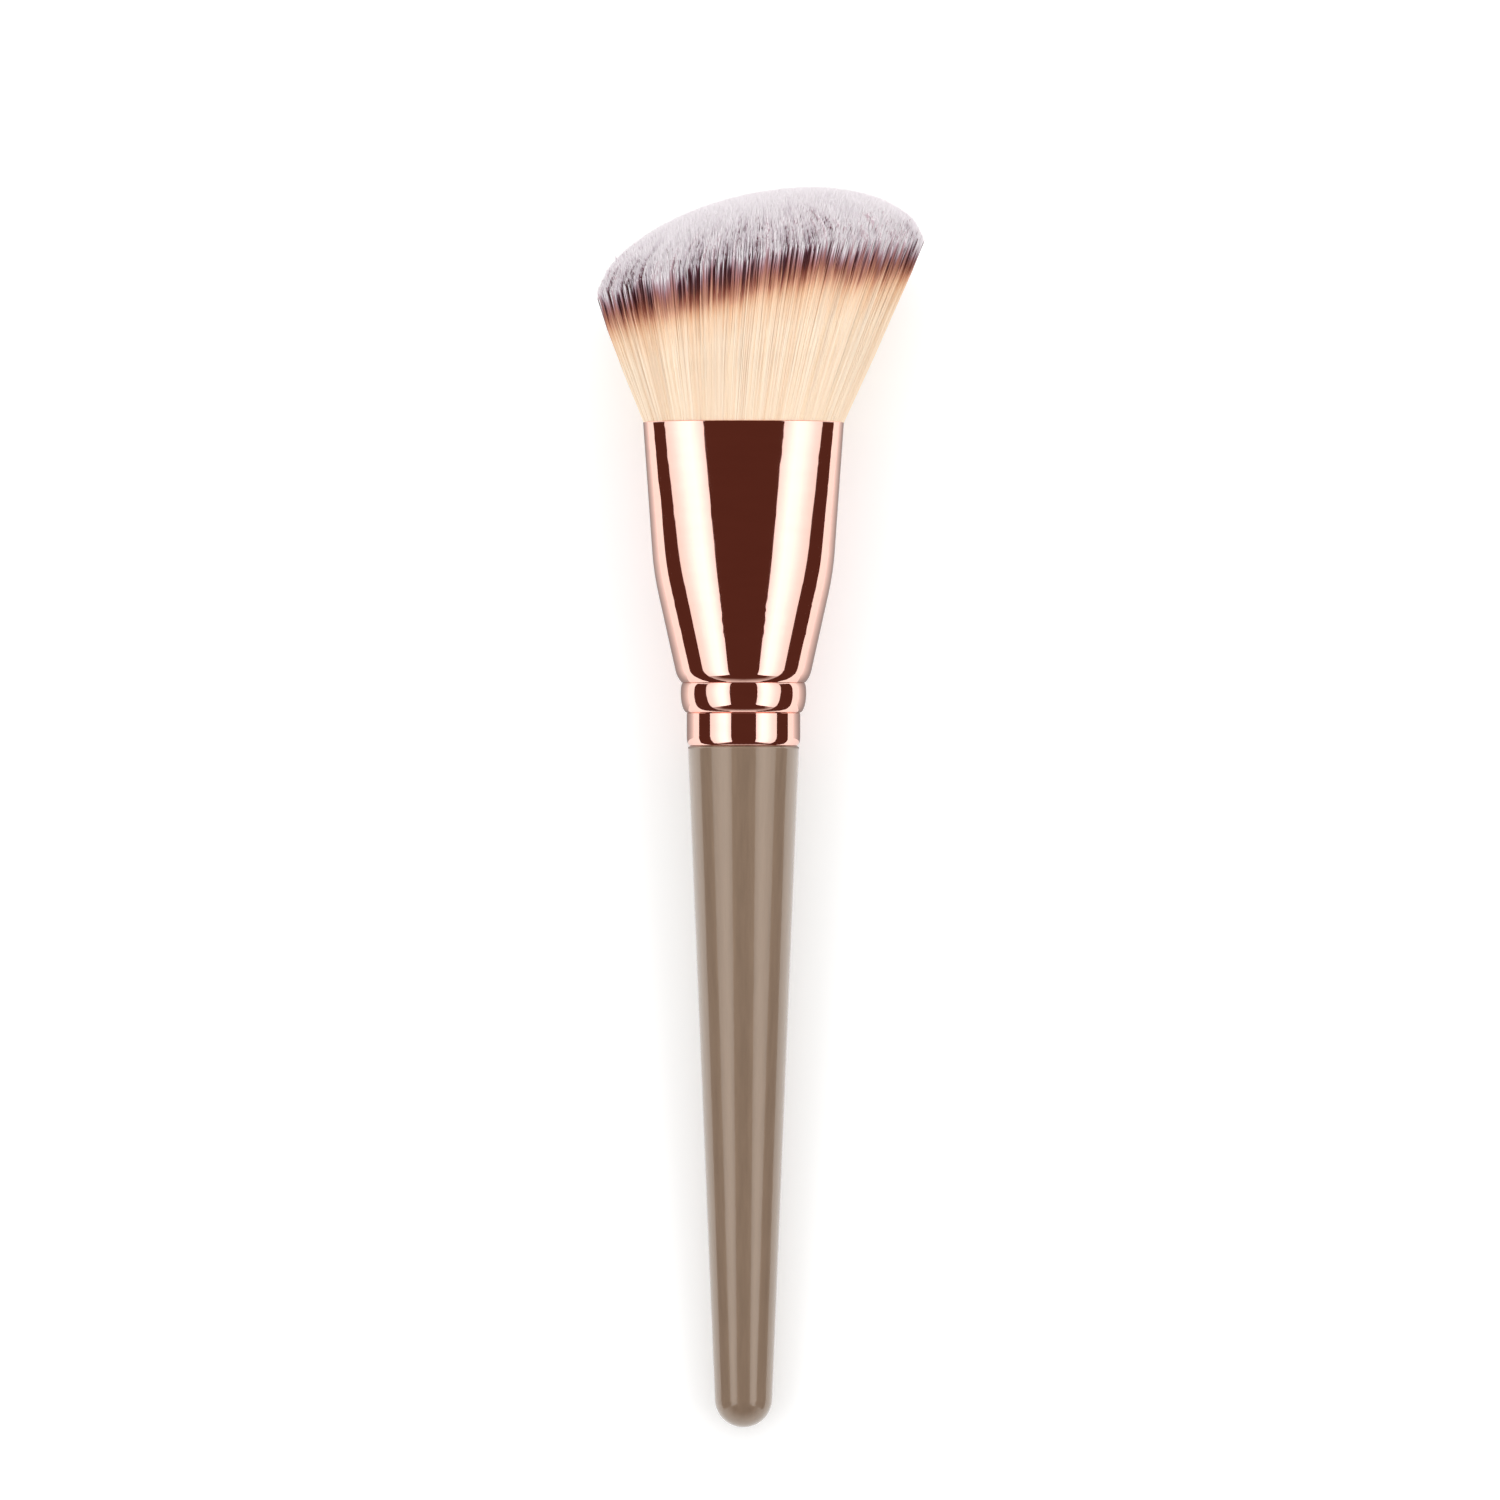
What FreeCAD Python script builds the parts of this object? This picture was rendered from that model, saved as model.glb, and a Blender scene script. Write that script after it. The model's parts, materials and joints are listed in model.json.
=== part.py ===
"""Contour brush: a lacquered wooden handle, a round-to-oval spun ferrule and an angled tuft.

Lengths are in millimetres. Each piece is built upright, with Z along the brush from the tip of
the handle, X across its wide face and Y through its depth. The whole brush is then laid on its
wide face, as it comes to rest on a table, with the tuft towards +Y.
"""
import FreeCAD, Part
import math
import os

# Handle
handle_length = 96.0
handle_end_radius = 4.05
shoulder_radius = 7.85
shoulder_round = 0.35
tenon_length = 15.0
tenon_chamfer = 0.8

# Ferrule neck: a collar and a rolled bead
wall = 0.45
rim_round_share = 0.42
collar_radius = 8.0
collar_length = 4.7
foot_curl_depth = 0.5
foot_curl_length = 1.3
bead_radius = 8.85
bead_length = 4.25
bead_crest_share = 0.66
lower_crease_depth = 0.1
upper_crease_depth = 0.3

# Ferrule body: a round cone that flattens into an oval mouth
cone_lip = 0.12
cone_foot_radius = 9.2
cone_foot_round = 1.35
cone_length = 15.5
knee_half_width = 12.65
knee_half_depth = 10.0
knee_blend = 3.0
barrel_length = 21.25
mouth_half_width = 14.15
mouth_half_depth = 8.45
mouth_squareness = 2.2

# Tuft: a fan of fibres under an angled dome
fibre_root_depth = 20.0
tuft_reach = 33.3
crown_half_width = 23.05
crown_half_depth = 13.0
crown_offset = 2.35
crown_slope = 9.6
crown_rise = 11.4
crown_face_lift = 2.0
fan_bow = 0.55
ridge_height = 0.3
ridge_counts = (17, 11)

# Clearances
tenon_clearance = 0.05
fibre_clearance = 0.1
glue_clearance = 0.05

# Points on each oval and ridged outline
oval_points = 32
tuft_points = 96

# Stations along the brush
bead_foot = handle_length + collar_length
cone_foot = bead_foot + bead_length
knee = cone_foot + cone_length
mouth = knee + barrel_length
tenon_end = handle_length + tenon_length
fibre_root = mouth - fibre_root_depth
lower_crease_radius = collar_radius - lower_crease_depth
tenon_radius = lower_crease_radius - wall - tenon_clearance
upper_crease_radius = bead_radius - upper_crease_depth
brush_axis = FreeCAD.Vector(0, 0, 1)


def at(radius, height):
    """A point of a turned outline, in the XZ plane."""
    return FreeCAD.Vector(radius, 0, height)


def line(start, end):
    return Part.LineSegment(start, end).toShape()


def arc(start, through, end):
    return Part.Arc(start, through, end).toShape()


def rounded(start, corner, end):
    """Quarter of an ellipse that rounds a square corner off."""
    curve = Part.BezierCurve()
    curve.setPoles([start, corner, end])
    curve.setWeight(2, math.sqrt(0.5))
    return curve.toShape()


def turned(edges):
    """Revolve an outline that starts and ends on the brush's axis."""
    return Part.Face(Part.Wire(edges)).revolve(FreeCAD.Vector(), brush_axis, 360)


def wrapped_solid(columns, mults, knots, degree):
    """Solid inside a smooth skin over columns of control points set round the brush."""
    count = len(columns)
    skin = Part.BSplineSurface()
    skin.buildFromPolesMultsKnots(
        columns, [1] * (count + 1), mults, list(range(count + 1)), knots, True, False, 3, degree)
    side = skin.toShape()
    ends = [Part.Face(Part.Wire(edge)) for edge in side.Edges if edge.isClosed()]
    closed = Part.makeShell([side] + ends)
    closed.sewShape()
    return Part.makeSolid(closed)


def ring_angles(count):
    return [2 * math.pi * step / count for step in range(count)]


def ring_gain(count):
    """How far outside a round outline its control points lie."""
    return 3 / (2 + math.cos(2 * math.pi / count))


# Handle

def make_handle():
    """Round-ended taper with a shoulder, and a tenon grooved for the ferrule's curled foot."""
    taper = math.atan2(shoulder_radius - handle_end_radius, handle_length - handle_end_radius)
    centre = at(0, handle_end_radius)
    tip = at(0, 0)
    cap_edge = centre + at(math.cos(taper), -math.sin(taper)) * handle_end_radius
    half_way = (taper - math.pi / 2) / 2 - taper
    cap_middle = centre + at(math.cos(half_way), math.sin(half_way)) * handle_end_radius
    shoulder_low = at(shoulder_radius, handle_length - shoulder_round)
    shoulder_top = at(shoulder_radius - shoulder_round, handle_length)
    groove_radius = collar_radius - foot_curl_depth - wall - tenon_clearance
    groove_foot = at(groove_radius, handle_length)
    groove_top = at(tenon_radius, handle_length + foot_curl_length + tenon_clearance)
    tenon_edge = at(tenon_radius, tenon_end - tenon_chamfer)
    tenon_face = at(tenon_radius - tenon_chamfer, tenon_end)
    return turned([
        arc(tip, cap_middle, cap_edge),
        line(cap_edge, shoulder_low),
        rounded(shoulder_low, at(shoulder_radius, handle_length), shoulder_top),
        line(shoulder_top, groove_foot),
        line(groove_foot, groove_top),
        line(groove_top, tenon_edge),
        line(tenon_edge, tenon_face),
        line(tenon_face, at(0, tenon_end)),
        line(at(0, tenon_end), tip),
    ])


# Ferrule

def neck_form(inset, below=0.0):
    """Solid inside the neck's skin, from below its curled foot to the crease under the cone."""
    foot = at(collar_radius - foot_curl_depth - inset, handle_length)
    collar_low = at(collar_radius - inset, handle_length + foot_curl_length)
    collar_top = at(collar_radius - inset, bead_foot - lower_crease_depth)
    lower_crease = at(lower_crease_radius - inset, bead_foot)
    crest = at(bead_radius - inset, bead_foot + bead_length * bead_crest_share)
    upper_crease = at(upper_crease_radius - inset, cone_foot)
    start = at(0, handle_length - below)
    edges = [line(start, foot - at(0, below))]
    if below:
        edges.append(line(foot - at(0, below), foot))
    edges += [
        rounded(foot, at(collar_radius - inset, handle_length), collar_low),
        line(collar_low, collar_top),
        line(collar_top, lower_crease),
        rounded(lower_crease, at(bead_radius - inset, bead_foot), crest),
        rounded(crest, at(bead_radius - inset, cone_foot), upper_crease),
        line(upper_crease, at(0, cone_foot)),
        line(at(0, cone_foot), start),
    ]
    return turned(edges)


def oval_point(angle, half_width, half_depth, squareness):
    """Point at an angle of a rounded oval: an ellipse at squareness 2, boxier above it."""
    power = 2.0 / squareness
    across = math.copysign(abs(math.cos(angle)) ** power, math.cos(angle))
    through = math.copysign(abs(math.sin(angle)) ** power, math.sin(angle))
    return FreeCAD.Vector(half_width * across, half_depth * through, 0)


def on_cone(height):
    """Half-width and half-depth of the cone's straight run at a height."""
    share = (height - cone_foot) / cone_length
    half_width = cone_foot_radius + (knee_half_width - cone_foot_radius) * share
    half_depth = cone_foot_radius + (knee_half_depth - cone_foot_radius) * share
    return height, half_width, half_depth


def on_barrel(height):
    """Half-width and half-depth of the barrel's straight run at a height."""
    share = (height - knee) / barrel_length
    half_width = knee_half_width + (mouth_half_width - knee_half_width) * share
    half_depth = knee_half_depth + (mouth_half_depth - knee_half_depth) * share
    return height, half_width, half_depth


def body_form(inset, above=0.0, count=oval_points):
    """Solid inside the body's skin, less an inset, from the upper crease to above the mouth."""
    lip_radius = upper_crease_radius + cone_lip
    rows = [
        (cone_foot, lip_radius, lip_radius),
        on_cone(cone_foot + cone_foot_round * 0.5),
        on_cone(cone_foot + cone_foot_round * 2),
        on_cone(knee - knee_blend * 2),
        on_cone(knee),
        on_barrel(knee + knee_blend * 2),
        on_barrel(mouth - knee_blend),
        on_barrel(mouth + above),
    ]
    gain = ring_gain(count)
    columns = []
    for angle in ring_angles(count):
        column = []
        for height, half_width, half_depth in rows:
            squareness = 2 + (mouth_squareness - 2) * (height - cone_foot) / (mouth - cone_foot)
            spot = oval_point(angle, half_width - inset, half_depth - inset, squareness) * gain
            column.append(spot + FreeCAD.Vector(0, 0, height))
        columns.append(column)
    spans = len(rows) - 2
    return wrapped_solid(columns, [3] + [1] * (spans - 1) + [3], list(range(spans + 1)), 2)


def between(low, high):
    """Slab across the whole brush, used to cut an inner piece to its length."""
    return Part.makeCylinder(mouth_half_width * 2, high - low, FreeCAD.Vector(0, 0, low))


def make_ferrule():
    """One thin skin: curled foot, collar, bead, cone and flattened mouth with a rounded rim."""
    skin = neck_form(0).fuse(body_form(0))
    bore = neck_form(wall, below=1.0).fuse(body_form(wall, above=1.0))
    shell = skin.cut(bore)
    rim = [edge for edge in shell.Edges if abs(edge.BoundBox.ZMin - mouth) < 0.01]
    return shell.makeFillet(wall * rim_round_share, rim).Solids[0]


# Glue that binds the fibres' roots

def make_glue_plug():
    return body_form(wall + glue_clearance).common(between(tenon_end, fibre_root)).Solids[0]


# Tuft

def ridge(angle):
    """Relief of the gathered strands around the tuft, from -1 to 1."""
    first, second = ridge_counts
    return 0.6 * math.cos(first * angle) + 0.4 * math.cos(second * angle + 1.3)


def tuft_point(angle, level):
    """Point of the tuft's skin: level 0 is at the mouth, 1 at the dome's edge, 2 at its top."""
    slope = math.tan(math.radians(crown_slope))
    edge_height = tuft_reach - math.hypot(crown_half_width * slope, crown_rise)
    inset = wall + fibre_clearance
    start = oval_point(angle, mouth_half_width - inset, mouth_half_depth - inset, mouth_squareness)
    start *= ring_gain(tuft_points)
    fan = min(level, 1.0)
    climb = math.pi / 2 * max(level - 1.0, 0.0)
    across = crown_half_width * math.cos(angle) * math.cos(climb)
    through = crown_half_depth * math.sin(angle) * math.cos(climb)
    # The dome's edge arches up over the middle of each wide face and flattens out towards its top
    face = crown_face_lift * math.sin(angle) ** 2 * max(1 - climb / (0.4 * math.pi), 0) ** 2
    rise = edge_height + slope * across + crown_rise * math.sin(climb) + face
    end = FreeCAD.Vector(crown_offset + across, through, rise)
    relief = ridge_height * math.sin(math.pi / 2 * fan) * math.cos(climb)
    swell = fan_bow * math.sin(math.pi * fan) + relief * ridge(angle)
    outwards = FreeCAD.Vector(math.cos(angle), math.sin(angle), slope * fan * math.cos(angle))
    return start + (end - start) * fan + outwards * swell + FreeCAD.Vector(0, 0, mouth)


def make_fan():
    """The part of the tuft outside the ferrule, from its mouth to the top of the dome."""
    levels = [0.0, 0.33, 0.67, 1.0, 1.2, 1.4, 1.6, 1.8, 1.95]
    columns = []
    for angle in ring_angles(tuft_points):
        strand = Part.BSplineCurve()
        strand.interpolate(Points=[tuft_point(angle, level) for level in levels], Parameters=levels)
        columns.append(strand.getPoles())
    return wrapped_solid(columns, strand.getMultiplicities(), strand.getKnots(), 3)


def make_bristle_head():
    """Fibre bundle: a root held in the ferrule, a ridged fan and an angled dome."""
    root = body_form(wall + fibre_clearance, count=tuft_points)
    root = root.common(between(fibre_root, mouth * 2))
    return root.fuse(make_fan()).Solids[0]


# Laying the brush down

def surface_points(shape):
    points, triangles = shape.tessellate(0.02)
    return points


def lowest(points, pitch):
    """Lowest height of upright points once the brush lies down at a pitch above level."""
    return min(point.z * math.sin(pitch) - point.y * math.cos(pitch) for point in points)


def resting_pitch(handle, head_pieces):
    """Angle at which the handle and the head touch the table together."""
    handle_points = surface_points(handle)
    head_points = [point for piece in head_pieces for point in surface_points(piece)]
    low, high = 0.0, math.radians(30)
    while high - low > 1e-7:
        pitch = (low + high) / 2
        if lowest(head_points, pitch) < lowest(handle_points, pitch):
            low = pitch
        else:
            high = pitch
    return math.degrees(high)


def lay_down(pieces):
    """Turn the brush onto its wide face, rest it on Z = 0 and centre it over the origin."""
    pitch = resting_pitch(pieces["handle"], [pieces["ferrule"], pieces["bristle_head"]])
    for piece in pieces.values():
        piece.rotate(FreeCAD.Vector(), FreeCAD.Vector(1, 0, 0), pitch - 90)
    box = FreeCAD.BoundBox()
    for piece in pieces.values():
        box.add(piece.optimalBoundingBox(False, False))
    shift = FreeCAD.Vector(-box.Center.x, -box.Center.y, -box.ZMin)
    for piece in pieces.values():
        piece.translate(shift)
    return pitch, box, shift


pieces = {
    "handle": make_handle(),
    "ferrule": make_ferrule(),
    "root_glue_plug": make_glue_plug(),
    "bristle_head": make_bristle_head(),
}
pitch, box, shift = lay_down(pieces)

os.makedirs("parts", exist_ok=True)
for name, piece in pieces.items():
    piece.exportStep("parts/" + name + ".step")
    print(name, "valid", piece.isValid(), "solids", len(piece.Solids), "volume", round(piece.Volume, 1))
print("resting pitch", pitch, "shift", shift, "size", box.XLength, box.YLength, box.ZLength)
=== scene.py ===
"""Finishes, fibres and studio for a contour brush whose solids come from CAD.

The brush lies on its wide face with the tuft towards +Y. Lengths are in metres, unless a name says mm.
"""

import json
import math

import bpy
import numpy as np
from mathutils import Matrix, Vector
from mathutils.kdtree import KDTree


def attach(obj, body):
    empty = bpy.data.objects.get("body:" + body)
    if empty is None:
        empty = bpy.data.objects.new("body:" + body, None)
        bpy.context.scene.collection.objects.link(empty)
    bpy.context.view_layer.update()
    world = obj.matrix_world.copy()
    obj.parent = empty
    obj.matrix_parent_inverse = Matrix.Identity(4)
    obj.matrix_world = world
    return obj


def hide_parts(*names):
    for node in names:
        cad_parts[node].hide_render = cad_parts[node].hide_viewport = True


bl_info = {
    "name": "Contour Brush",
    "version": (1, 0, 0),
    "blender": (4, 5, 0),
    "location": "3D View > Sidebar > Contour Brush",
    "description": "Grows the fibres of a make-up brush, finishes its CAD parts and sets up its studio",
    "category": "Object",
}

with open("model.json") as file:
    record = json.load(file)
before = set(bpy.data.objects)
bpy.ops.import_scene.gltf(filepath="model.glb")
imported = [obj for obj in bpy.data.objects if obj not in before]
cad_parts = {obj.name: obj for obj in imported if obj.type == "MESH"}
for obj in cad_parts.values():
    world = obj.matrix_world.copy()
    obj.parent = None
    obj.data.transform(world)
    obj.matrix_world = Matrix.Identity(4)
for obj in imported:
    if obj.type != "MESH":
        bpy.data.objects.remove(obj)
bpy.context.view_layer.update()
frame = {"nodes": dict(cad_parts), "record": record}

# Directions of the brush, from the collar's mount
COLLAR = frame["record"]["mounts"][0]
COLLAR_POINT = np.array(COLLAR["pos_m"])
ALONG = -np.array(COLLAR["axis"])
ACROSS = np.array((1.0, 0.0, 0.0))
FACING = np.cross(ACROSS, ALONG)

# Form of the tuft, as in the CAD solid
MOUTH_HALF_WIDTH = 0.0136
MOUTH_HALF_DEPTH = 0.0079
MOUTH_SQUARENESS = 2.2
RIDGE_HEIGHT = 0.0003
# Two sets of ridges run up the fan: how many, their share of the height, and how far they are turned
RIDGES = ((17, 0.6, 0.0), (11, 0.4, 1.3))
FAN_BOW = 0.00055
# How far up the dome the rise over each wide face reaches
LIFT_REACH = 0.4 * math.pi

# Dye. Its scale runs in mm from 0 at an undyed tip, and dyed_fibre has its colours.
LONGEST_FIBRE_MM = 36.0
# How many mm below the tips the dark band's two edges lie, at places across the wide face
BAND_TOP = ((-0.83, 1.4), (-0.58, 1.7), (-0.33, 1.3), (-0.1, 1.3),
            (0.16, 1.0), (0.38, 1.0), (0.55, 1.9), (0.9, 2.2))
BAND_FOOT = ((-0.83, 4.8), (-0.58, 5.6), (-0.1, 5.7), (0.16, 5.0), (0.41, 4.9), (0.65, 5.9), (0.9, 5.5))
# Values of the dye's scale at those two edges
TOP_DYE_MM, FOOT_DYE_MM = 2.3, 5.0
# How much a lock and a single fibre move the band's foot, and how far dark spikes reach out of its top
FOOT_LOCK_MM, FOOT_FIBRE_MM = 0.25, 0.3
SPIKE_LOCK_MM, SPIKE_FIBRE_MM = 0.6, 0.35
# Extra white on the fibres inside the tuft, least white on any tip, and least height of the band
INNER_WHITE_MM, LEAST_WHITE_MM, LEAST_BAND_MM = 0.8, 0.4, 1.2
# A tip is dyed when its band begins close below it, and then only a little
TIP_DYE_SLOPE, MOST_TIP_DYE = 1.44, 0.0005
# How much of a fibre's tone, from deep to pale, comes from its lock, and how much is its own. The lock's
# share also paints streaks of shade between the locks
LOCK_TONE_AND_SHADE, OWN_TONE = 0.78, 0.22

# Fibres
FIBRE_SEED = 11
SIDES = 3
PIECES_OF_EACH = 3
SKIN_RADIUS, CROWN_RADIUS = 0.00007, 0.00011
# Places in the bundle, as shares of its half width, and the scatter of the places under the dome
SKIN_OUT, SKIN_DEPTH = 0.995, 0.1
CROWN_OUT, CROWN_SCATTER = 0.95, 0.8
RIM_ANGLES = np.linspace(-np.pi, np.pi, 721)
LOCK_LAYERS = 7
# How much of a fibre's lean to its lock comes all along it, and how much near its tip
EARLY_LEAN, LATE_LEAN = 0.3, 0.7
# How far locks, single fibres and a few cut ones can end short of the dome
SHORT_LOCK, SHORT_FIBRE, CUT_FIBRE = 0.0007, 0.00015, 0.003
SWAY = 0.00004
# How far the few stray fibres stand aside, and their share of all
STRAY, STRAY_SHARE = 0.00035, 0.03
LOWEST_POINT = 0.00008
# Rings: how deep a whole fibre starts in the mouth, where its second ring lies as a share of its
# length, and how long a modelled upper end is, with the dye at its foot
ROOT_DEPTH, SECOND_RING = 0.0015, 0.62
END_LENGTH, END_DYE = 0.009, 0.0085

# Core: its share of the bundle's form, where it starts below the mouth, its corners and rows, how
# much farther than it lies its dye is, and its tone
CORE_SHARE, CORE_START = 0.9, -0.15
CORE_CORNERS, CORE_ROWS, CORE_DOME_ROWS = 96, 24, 12
CORE_DYE_MM, CORE_TONE = 0.8, 0.3

# Stage: half width, half length and height of the tent of cloth round the set
TENT = (1.0, 1.4, 1.1)
FLAG_BROWN = (0.097, 0.032, 0.022)
FLOOR_REACH = 8.0
PAPER_GLOW = 0.22
# How far down the brush from the collar, and to its long side, the middle of the picture lies
PICTURE_DOWN, PICTURE_ASIDE = 0.0035, 0.00092


def from_hex(code):
    """Linear red, green and blue of an sRGB hex colour."""
    values = [int(code[start:start + 2], 16) / 255 for start in (0, 2, 4)]
    return tuple(v / 12.92 if v <= 0.04045 else ((v + 0.055) / 1.055) ** 2.4 for v in values)


def add(tree, kind, inputs=None, stops=None, **settings):
    """Adds a node with its settings; each input is a value or the socket that feeds it."""
    node = tree.nodes.new(kind)
    for name, value in settings.items():
        setattr(node, name, value)
    for name, value in (inputs or {}).items():
        if isinstance(value, bpy.types.NodeSocket):
            tree.links.new(value, node.inputs[name])
        else:
            node.inputs[name].default_value = value
    if stops:
        elements = node.color_ramp.elements
        while len(elements) < len(stops):
            elements.new(1.0)
        for element, (place, colour) in zip(elements, stops):
            element.position = place
            element.color = (*colour, 1.0)
    return node


def new_material(name):
    """A material with an empty node tree, and its output."""
    material = bpy.data.materials.new(name)
    material.use_nodes = True
    tree = material.node_tree
    tree.nodes.clear()
    return material, tree, add(tree, "ShaderNodeOutputMaterial")


def finish_node(name, material):
    """Gives a CAD node its material."""
    node = frame["nodes"][name]
    for slot in node.material_slots:
        slot.material = material


def to_row(points):
    """Points of the upright brush, from the centre of the ferrule's mouth, placed in the row frame."""
    return (mouth_centre() + points[..., 0:1] * ACROSS - points[..., 1:2] * FACING
            + points[..., 2:3] * ALONG)


def mouth_centre():
    """Centre of the ferrule's mouth, where the fibres come out."""
    corners = np.array([v.co for v in frame["nodes"]["ferrule"].data.vertices])
    reach = ((corners - COLLAR_POINT) @ ALONG).max()
    return COLLAR_POINT + ALONG * reach


def mesh_object(name, points, faces, material, smooth=True):
    """A mesh object from corner points and faces of one size."""
    mesh = bpy.data.meshes.new(name)
    count, size = faces.shape
    mesh.vertices.add(len(points))
    mesh.vertices.foreach_set("co", points.astype(np.float32).ravel())
    mesh.loops.add(count * size)
    mesh.loops.foreach_set("vertex_index", faces.astype(np.int32).ravel())
    mesh.polygons.add(count)
    mesh.polygons.foreach_set("loop_start", np.arange(0, count * size, size, dtype=np.int32))
    mesh.polygons.foreach_set("use_smooth", np.full(count, smooth))
    mesh.update(calc_edges=True)
    mesh.materials.append(material)
    piece = bpy.data.objects.new(name, mesh)
    bpy.context.scene.collection.objects.link(piece)
    return piece


def tube_faces(rings, size):
    """Triangles of a tube whose rings have their corners in a row."""
    faces = []
    for ring in range(rings - 1):
        for corner in range(size):
            low, low_next = ring * size + corner, ring * size + (corner + 1) % size
            faces.append((low, low_next, low_next + size))
            faces.append((low, low_next + size, low + size))
    return faces


def fan_faces(size, first, point):
    """Triangles from a ring, which starts at its first corner, to a point."""
    return [(first + corner, first + (corner + 1) % size, point) for corner in range(size)]


# Materials

def taupe_lacquer(settings):
    """Taupe lacquer sprayed over turned beech and polished.

    An opaque colour under a deep clear gloss, with the faint long streaks of the wood's grain.
    """
    material, tree, output = new_material("Taupe lacquer, sprayed and polished")
    place = add(tree, "ShaderNodeTexCoord")
    # Grain lines about 0.6 mm apart and 25 mm long show through the coats
    stretch = add(tree, "ShaderNodeMapping", {
        "Vector": place.outputs["Object"], "Scale": (1650, 40, 1650)})
    grain = add(tree, "ShaderNodeTexNoise", {
        "Vector": stretch.outputs["Vector"], "Scale": 1.0, "Detail": 3.0})
    tint = add(tree, "ShaderNodeValToRGB", {"Fac": grain.outputs["Fac"]}, stops=[
        (0.3, [c * 0.93 for c in settings.lacquer_colour]),
        (0.7, [min(1.0, c * 1.05) for c in settings.lacquer_colour]),
    ])
    # Orange peel of the spray, with waves 1.6 mm across
    peel = add(tree, "ShaderNodeTexNoise", {
        "Vector": place.outputs["Object"], "Scale": 620.0, "Detail": 1.0})
    relief = add(tree, "ShaderNodeBump", {
        "Height": peel.outputs["Fac"], "Strength": 0.04, "Distance": 0.0002})
    haze = add(tree, "ShaderNodeMapRange", {
        "Value": grain.outputs["Fac"], "To Min": 0.28, "To Max": 0.36})
    shader = add(tree, "ShaderNodeBsdfPrincipled", {
        "Base Color": tint.outputs["Color"],
        "Roughness": haze.outputs["Result"],
        "IOR": 1.5,
        "Specular IOR Level": 0.9,
        "Specular Tint": (1.0, 0.74, 0.54, 1.0),
        "Coat Weight": 1.0,
        "Coat Roughness": 0.04,
        "Coat IOR": 1.5,
        "Normal": relief.outputs["Normal"],
        "Coat Normal": relief.outputs["Normal"],
    })
    tree.links.new(shader.outputs["BSDF"], output.inputs["Surface"])
    return material


def rose_gold(settings):
    """Rose gold plating over spun aluminium, buffed to a mirror.

    Sharp reflections in a warm pink metal, a little hazier in patches where the buffing wheel left it.
    """
    material, tree, output = new_material("Rose gold plating, mirror buffed")
    place = add(tree, "ShaderNodeTexCoord")
    # Buffing haze in patches about 4 mm long round the ferrule
    stretch = add(tree, "ShaderNodeMapping", {
        "Vector": place.outputs["Object"], "Scale": (160, 620, 160)})
    buffing = add(tree, "ShaderNodeTexNoise", {
        "Vector": stretch.outputs["Vector"], "Scale": 1.0, "Detail": 4.0})
    haze = add(tree, "ShaderNodeMapRange", {
        "Value": buffing.outputs["Fac"], "To Min": 0.025, "To Max": 0.065})
    plating = settings.plating_colour
    tint = add(tree, "ShaderNodeValToRGB", {"Fac": buffing.outputs["Fac"]}, stops=[
        (0.25, [c * 0.97 for c in plating]), (0.75, [min(1.0, c * 1.02) for c in plating])])
    shader = add(tree, "ShaderNodeBsdfPrincipled", {
        "Base Color": tint.outputs["Color"],
        "Metallic": 1.0,
        "Roughness": haze.outputs["Result"],
    })
    tree.links.new(shader.outputs["BSDF"], output.inputs["Surface"])
    return material


def cast_resin():
    """Epoxy resin cast round the fibre roots: amber, glassy and a little cloudy."""
    material, tree, output = new_material("Epoxy resin, cast")
    place = add(tree, "ShaderNodeTexCoord")
    cloud = add(tree, "ShaderNodeTexNoise", {
        "Vector": place.outputs["Object"], "Scale": 300.0, "Detail": 2.0})
    tint = add(tree, "ShaderNodeValToRGB", {"Fac": cloud.outputs["Fac"]}, stops=[
        (0.3, from_hex("B8925A")), (0.7, from_hex("D2B27C"))])
    shader = add(tree, "ShaderNodeBsdfPrincipled", {
        "Base Color": tint.outputs["Color"], "Roughness": 0.3, "IOR": 1.55})
    tree.links.new(shader.outputs["BSDF"], output.inputs["Surface"])
    return material


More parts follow.
